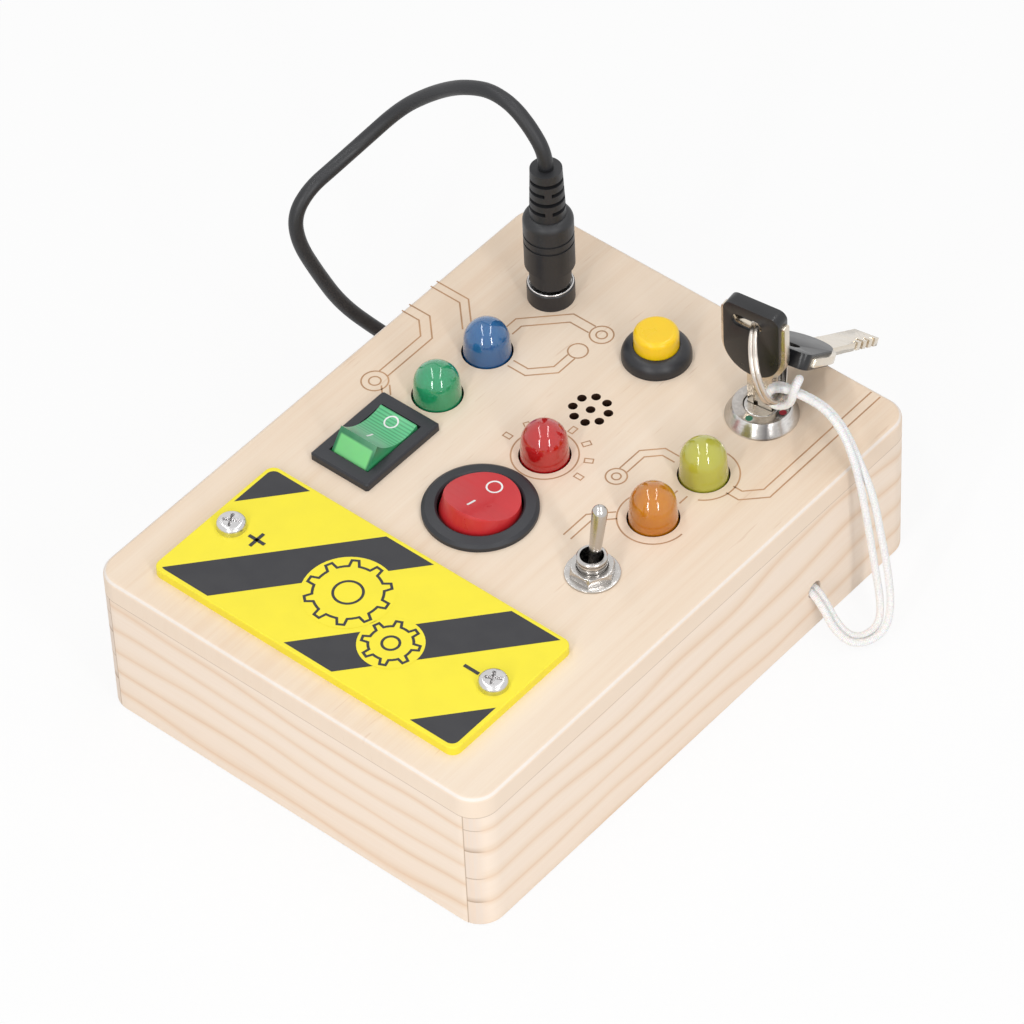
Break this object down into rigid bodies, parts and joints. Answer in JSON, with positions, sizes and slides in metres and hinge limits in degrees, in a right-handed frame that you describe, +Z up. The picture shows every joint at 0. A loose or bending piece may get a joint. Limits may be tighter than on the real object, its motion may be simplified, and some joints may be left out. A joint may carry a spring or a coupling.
{
  "type": "busy board",
  "caption": "Wooden box for a child with switches, signal lamps, a key lock with keys on a ring, a push button, a striped plate and a plugged-in lead on its lid.",
  "frame": {"origin": "centre of the underside of the box, on the surface it stands on", "axes": "+X to the right and +Y to the back, seen from the end with the striped plate; +Z up"},
  "size_m": [0.1338, 0.1486, 0.0832],
  "materials": {
    "wood_light": "bare planed beech, satin",
    "black_plastic": "semi-gloss black",
    "red_plastic": "semi-gloss red",
    "green_switch_plastic": "translucent green",
    "lamp_green_plastic": "translucent green",
    "lamp_blue_plastic": "translucent blue",
    "lamp_red_plastic": "translucent red",
    "lamp_amber_plastic": "translucent amber",
    "lamp_lime_plastic": "translucent yellow green",
    "yellow_plastic": "gloss yellow",
    "plate_yellow": "matt yellow with dark stripes",
    "chrome_metal": "bright chrome",
    "screw_steel": "bright steel",
    "contact_brass": "tinned brass",
    "dot_green": "green paint",
    "dot_red": "red paint",
    "cord_white": "woven white cord",
    "black_rubber": "matt black",
    "cell_skin": "printed sleeve, plain",
    "board_green": "solder mask",
    "wire_red": "insulation",
    "wire_black": "insulation",
    "spring_steel": "bright wire"
  },
  "bodies": {
    "board": {"top_panel": "wood_light", "left_wall": "wood_light", "right_wall": "wood_light", "front_wall": "wood_light", "back_wall": "wood_light", "corner_blocks": "wood_light", "bottom_panel": "wood_light", "battery_tray": "black_plastic", "battery_cover": "black_plastic", "buzzer": "black_plastic", "green_rocker_housing": "black_plastic", "red_rocker_housing": "black_plastic", "toggle_body": "black_plastic", "button_housing": "black_plastic", "socket_collar": "black_plastic", "circuit_board_parts": "black_plastic", "lamp_green": "lamp_green_plastic", "lamp_blue": "lamp_blue_plastic", "lamp_red": "lamp_red_plastic", "lamp_amber": "lamp_amber_plastic", "lamp_lime": "lamp_lime_plastic", "hazard_plate": "plate_yellow", "toggle_bushing": "chrome_metal", "toggle_washer": "chrome_metal", "toggle_nut": "chrome_metal", "lock_housing": "chrome_metal", "socket_sleeve": "chrome_metal", "panel_nuts": "chrome_metal", "plate_screws": "screw_steel", "base_screws": "screw_steel", "terminals": "contact_brass", "battery_contacts": "contact_brass", "circuit_board_spacers": "contact_brass", "lock_dot_green": "dot_green", "lock_dot_red": "dot_red", "lanyard_back": "cord_white", "lanyard_front": "cord_white", "lanyard_stop_knot": "cord_white", "cable": "black_rubber", "cable_grommet": "black_rubber", "battery_1": "cell_skin", "battery_2": "cell_skin", "circuit_board": "board_green", "wires_red": "wire_red", "wires_black": "wire_black", "button_spring": "spring_steel"},
    "green_rocker": {"green_rocker": "green_switch_plastic"},
    "red_rocker": {"red_rocker": "red_plastic"},
    "toggle_lever": {"toggle_lever": "chrome_metal"},
    "button": {"button_cap": "yellow_plastic"},
    "barrel": {"lock_barrel": "chrome_metal"},
    "key": {"key_blade": "chrome_metal", "key_cover": "black_plastic"},
    "ring": {"key_ring": "chrome_metal", "lanyard_knot": "cord_white"},
    "spare_key": {"spare_key_blade": "chrome_metal", "spare_key_cover": "black_plastic"},
    "plug": {"plug_body": "black_plastic", "plug_barrel": "chrome_metal", "plug_strain_relief": "black_rubber"}
  },
  "joints": [
    {"name": "green_rocker_tilt", "type": "hinge", "parent": "board", "child": "green_rocker", "pos_m": [-0.0278, -0.0061, 0.0342], "axis": [1, 0, 0], "range_deg": [0, 32]},
    {"name": "red_rocker_tilt", "type": "hinge", "parent": "board", "child": "red_rocker", "pos_m": [-0.0006, -0.00685, 0.0342], "axis": [1, 0, 0], "range_deg": [0, 22]},
    {"name": "toggle_throw", "type": "hinge", "parent": "board", "child": "toggle_lever", "pos_m": [0.02685, -0.0065, 0.0356], "axis": [1, 0, 0], "range_deg": [0, 22]},
    {"name": "button_press", "type": "slide", "parent": "board", "child": "button", "axis": [0, 0, -1], "range_m": [0, 0.0022], "stiffness_N_per_m": 300, "springref_m": -0.002, "deforming": ["button_spring"]},
    {"name": "lock_turn", "type": "hinge", "parent": "board", "child": "barrel", "pos_m": [0.02565, 0.0462, 0.038], "axis": [0, 0, 1], "range_deg": [-90, 0], "deforming": ["lanyard_back", "lanyard_front"]},
    {"name": "key_pull", "type": "slide", "parent": "barrel", "child": "key", "axis": [0, 0, 1], "range_m": [0, 0.017], "deforming": ["lanyard_back", "lanyard_front"]},
    {"name": "ring_swing", "type": "hinge", "parent": "key", "child": "ring", "pos_m": [0.02476, 0.04609, 0.0595], "axis": [0.4007, -0.8851, 0.2368], "range_deg": [0, 15], "deforming": ["lanyard_back", "lanyard_front"]},
    {"name": "spare_key_lift", "type": "hinge", "parent": "ring", "child": "spare_key", "pos_m": [0.02548, 0.0523, 0.04781], "axis": [0.9848, 0.1736, 0], "range_deg": [0, 34.65]},
    {"name": "plug_pull", "type": "slide", "parent": "board", "child": "plug", "axis": [0, 0, 1], "range_m": [0, 0.012], "deforming": ["cable"]}
  ],
  "couplings": [
    {"joint": "spare_key_lift", "follows": "lock_turn", "ratio": -0.385}
  ]
}
